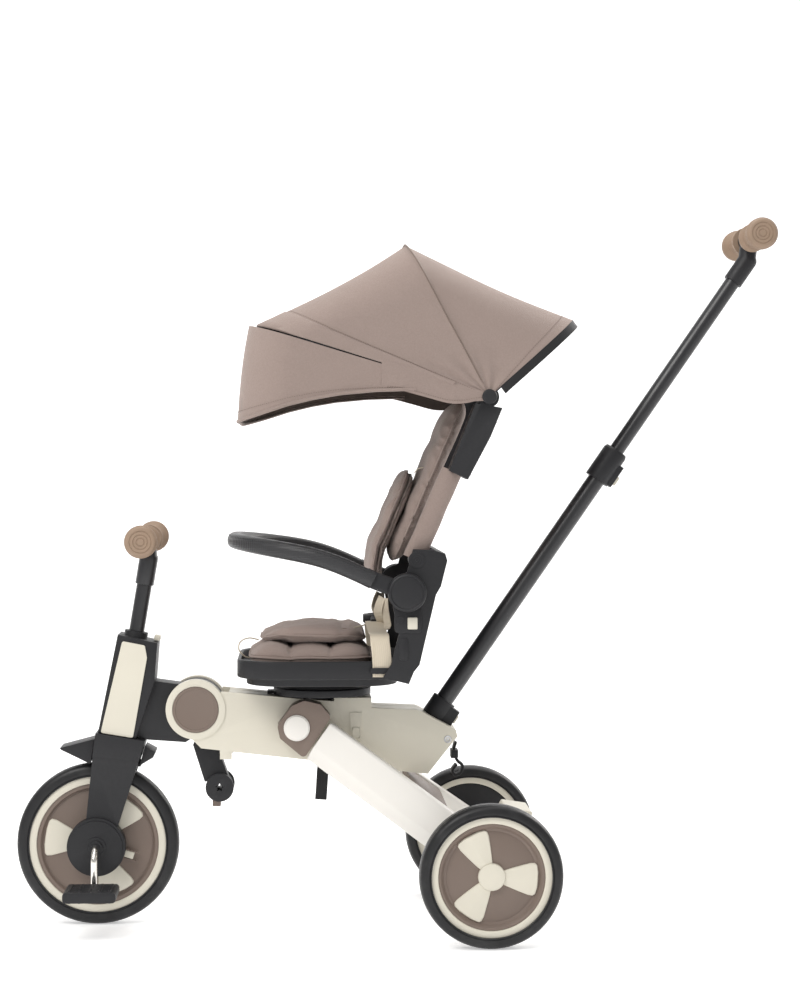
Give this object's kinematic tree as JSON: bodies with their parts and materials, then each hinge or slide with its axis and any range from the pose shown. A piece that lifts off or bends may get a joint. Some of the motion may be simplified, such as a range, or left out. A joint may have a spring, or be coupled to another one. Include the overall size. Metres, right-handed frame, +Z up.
{
  "type": "children's tricycle",
  "caption": "Folding children's tricycle with a swivel seat, arm bar, sun canopy, foldaway pedals and a telescopic push handle.",
  "frame": {"origin": "centre of the bounding box in plan, on the floor that the three wheels stand on", "axes": "+X from the front wheel to the push handle, +Y to the rider's right, +Z up"},
  "size_m": [1.096, 0.418, 1.0231],
  "materials": {
    "cream_plastic": "fine matt texture, cream",
    "light_plastic": "smooth satin, near white",
    "brown_plastic": "fine matt texture, taupe brown",
    "black_plastic": "fine matt texture, black",
    "grip_rubber": "soft matt, light brown",
    "tyre_rubber": "satin black",
    "axle_steel": "brushed",
    "chrome_rod": "polished",
    "tube_metal": "powder-coated black",
    "taupe_cloth": "fine diagonal weave, taupe",
    "beige_webbing": "flat ribbed webbing, beige",
    "black_webbing": "flat ribbed webbing, black",
    "leatherette": "embossed black leatherette"
  },
  "bodies": {
    "frame": {"frame_shell_left": "cream_plastic", "frame_shell_right": "cream_plastic", "frame_spine": "black_plastic", "hinge_pins": "axle_steel", "swivel_base": "black_plastic", "handle_socket": "black_plastic", "handle_lower_tube": "tube_metal", "clamp_collar": "black_plastic", "webbing_straps": "black_webbing"},
    "fold_button_left": {"fold_button_left": "brown_plastic"},
    "fold_button_right": {"fold_button_right": "brown_plastic"},
    "socket_button": {"socket_button": "cream_plastic"},
    "collar_button": {"collar_button": "cream_plastic"},
    "front_section": {"head_housing": "black_plastic", "head_panels": "cream_plastic", "footrest_arm": "black_plastic"},
    "footrest_release": {"footrest_release": "brown_plastic"},
    "stem_lever": {"stem_lever": "cream_plastic"},
    "steering": {"fork": "black_plastic", "mudguard": "black_plastic", "steerer": "tube_metal", "handlebar": "tube_metal", "handlebar_grips": "grip_rubber"},
    "front_wheel": {"front_tyre": "tyre_rubber", "front_rim": "cream_plastic", "front_disc": "brown_plastic"},
    "freewheel_tab": {"freewheel_tab": "cream_plastic"},
    "crank": {"crank": "chrome_rod"},
    "pedal_left": {"pedal_left": "black_plastic"},
    "pedal_right": {"pedal_right": "black_plastic"},
    "rear_legs": {"leg_left": "light_plastic", "leg_right": "light_plastic", "leg_brackets": "brown_plastic", "leg_caps": "light_plastic", "leg_bridge": "brown_plastic", "rear_axle": "axle_steel"},
    "brake_pedal": {"brake_pedal": "cream_plastic"},
    "rear_wheel_left": {"rear_tyre_left": "tyre_rubber", "rear_rim_left": "cream_plastic", "rear_dish_left": "brown_plastic"},
    "rear_wheel_right": {"rear_tyre_right": "tyre_rubber", "rear_rim_right": "cream_plastic", "rear_dish_right": "brown_plastic"},
    "seat": {"seat_pan": "black_plastic", "back_shell": "black_plastic", "seat_pad": "taupe_cloth", "harness": "beige_webbing"},
    "arm_bar": {"arm_bar": "leatherette"},
    "arm_buttons": {"arm_buttons": "cream_plastic"},
    "backrest": {"back_posts": "tube_metal", "back_fabric": "taupe_cloth", "back_pad": "taupe_cloth"},
    "canopy": {"canopy_carriers": "black_plastic", "canopy_fabric": "taupe_cloth"},
    "canopy_mid": {"canopy_mid_bow": "black_plastic"},
    "canopy_front": {"canopy_front_bow": "black_plastic", "canopy_visor": "taupe_cloth"},
    "handle_upper": {"handle_upper_tube": "tube_metal", "push_tee": "black_plastic", "push_grips": "grip_rubber"}
  },
  "joints": [
    {"name": "front_fold", "type": "hinge", "parent": "frame", "child": "front_section", "pos_m": [-0.28754, 0, 0.315], "axis": [0, -1, 0], "range_deg": [0, 55]},
    {"name": "rear_fold", "type": "hinge", "parent": "frame", "child": "rear_legs", "pos_m": [-0.14154, 0, 0.292], "axis": [0, 1, 0], "range_deg": [0, 38.5]},
    {"name": "steering_turn", "type": "hinge", "parent": "front_section", "child": "steering", "pos_m": [-0.42654, 0, 0.1175], "axis": [0.165, 0, 0.9863], "range_deg": [-25, 25]},
    {"name": "front_wheel_spin", "type": "hinge", "parent": "steering", "child": "front_wheel", "pos_m": [-0.43054, 0, 0.1175], "axis": [0, 1, 0], "continuous": true},
    {"name": "crank_spin", "type": "hinge", "parent": "steering", "child": "crank", "pos_m": [-0.43054, 0, 0.1175], "axis": [0, 1, 0], "continuous": true},
    {"name": "pedal_left_spin", "type": "hinge", "parent": "crank", "child": "pedal_left", "pos_m": [-0.43054, -0.116, 0.0655], "axis": [0, 1, 0], "continuous": true},
    {"name": "pedal_right_spin", "type": "hinge", "parent": "crank", "child": "pedal_right", "pos_m": [-0.43054, 0.116, 0.1695], "axis": [0, 1, 0], "continuous": true},
    {"name": "freewheel_tab_slide", "type": "slide", "parent": "front_wheel", "child": "freewheel_tab", "axis": [0.9511, 0, -0.309], "range_m": [0, 0.004]},
    {"name": "rear_wheel_left_spin", "type": "hinge", "parent": "rear_legs", "child": "rear_wheel_left", "pos_m": [0.12696, -0.19, 0.1], "axis": [0, 1, 0], "continuous": true},
    {"name": "rear_wheel_right_spin", "type": "hinge", "parent": "rear_legs", "child": "rear_wheel_right", "pos_m": [0.12696, 0.19, 0.1], "axis": [0, 1, 0], "continuous": true},
    {"name": "brake_press", "type": "hinge", "parent": "rear_legs", "child": "brake_pedal", "pos_m": [0.12696, 0, 0.1], "axis": [0, 1, 0], "range_deg": [0, 18]},
    {"name": "seat_swivel", "type": "hinge", "parent": "frame", "child": "seat", "pos_m": [-0.10454, 0, 0.35], "axis": [0, 0, 1], "range_deg": [0, 180]},
    {"name": "arm_bar_lift", "type": "hinge", "parent": "seat", "child": "arm_bar", "pos_m": [0.01246, 0, 0.49], "axis": [0, 1, 0], "range_deg": [0, 65]},
    {"name": "arm_buttons_press", "type": "slide", "parent": "seat", "child": "arm_buttons", "axis": [0, 0, -1], "range_m": [0, 0.003], "stiffness_N_per_m": 400},
    {"name": "backrest_recline", "type": "hinge", "parent": "seat", "child": "backrest", "pos_m": [0.02646, 0, 0.535], "axis": [0, 1, 0], "range_deg": [0, 12]},
    {"name": "canopy_height", "type": "slide", "parent": "backrest", "child": "canopy", "axis": [0.4019, 0, 0.9157], "range_m": [-0.05, 0]},
    {"name": "canopy_front_fold", "type": "hinge", "parent": "canopy", "child": "canopy_front", "pos_m": [0.12654, 0, 0.763], "axis": [0, 1, 0], "range_deg": [0, 70], "deforming": ["canopy_fabric"]},
    {"name": "canopy_mid_fold", "type": "hinge", "parent": "canopy", "child": "canopy_mid", "pos_m": [0.12654, 0, 0.763], "axis": [0, 1, 0], "range_deg": [0, 35], "deforming": ["canopy_fabric"]},
    {"name": "handle_extend", "type": "slide", "parent": "frame", "child": "handle_upper", "axis": [0.5693, 0, 0.8221], "range_m": [-0.295, 0]},
    {"name": "fold_button_left_press", "type": "slide", "parent": "frame", "child": "fold_button_left", "axis": [0, 1, 0], "range_m": [0, 0.003], "stiffness_N_per_m": 400},
    {"name": "fold_button_right_press", "type": "slide", "parent": "frame", "child": "fold_button_right", "axis": [0, -1, 0], "range_m": [0, 0.003], "stiffness_N_per_m": 400},
    {"name": "socket_button_press", "type": "slide", "parent": "frame", "child": "socket_button", "axis": [-0.8221, 0, 0.5693], "range_m": [0, 0.0025], "stiffness_N_per_m": 400},
    {"name": "collar_button_press", "type": "slide", "parent": "frame", "child": "collar_button", "axis": [-0.8221, 0, 0.5693], "range_m": [0, 0.0025], "stiffness_N_per_m": 400},
    {"name": "footrest_release_press", "type": "slide", "parent": "front_section", "child": "footrest_release", "axis": [0, 0, 1], "range_m": [0, 0.004], "stiffness_N_per_m": 400},
    {"name": "stem_lever_press", "type": "slide", "parent": "front_section", "child": "stem_lever", "axis": [-0.9863, 0, 0.165], "range_m": [0, 0.0025], "stiffness_N_per_m": 400}
  ],
  "couplings": [
    {"joint": "rear_fold", "follows": "front_fold", "ratio": 0.7},
    {"joint": "crank_spin", "follows": "front_wheel_spin", "ratio": 1},
    {"joint": "canopy_mid_fold", "follows": "canopy_front_fold", "ratio": 0.5}
  ]
}
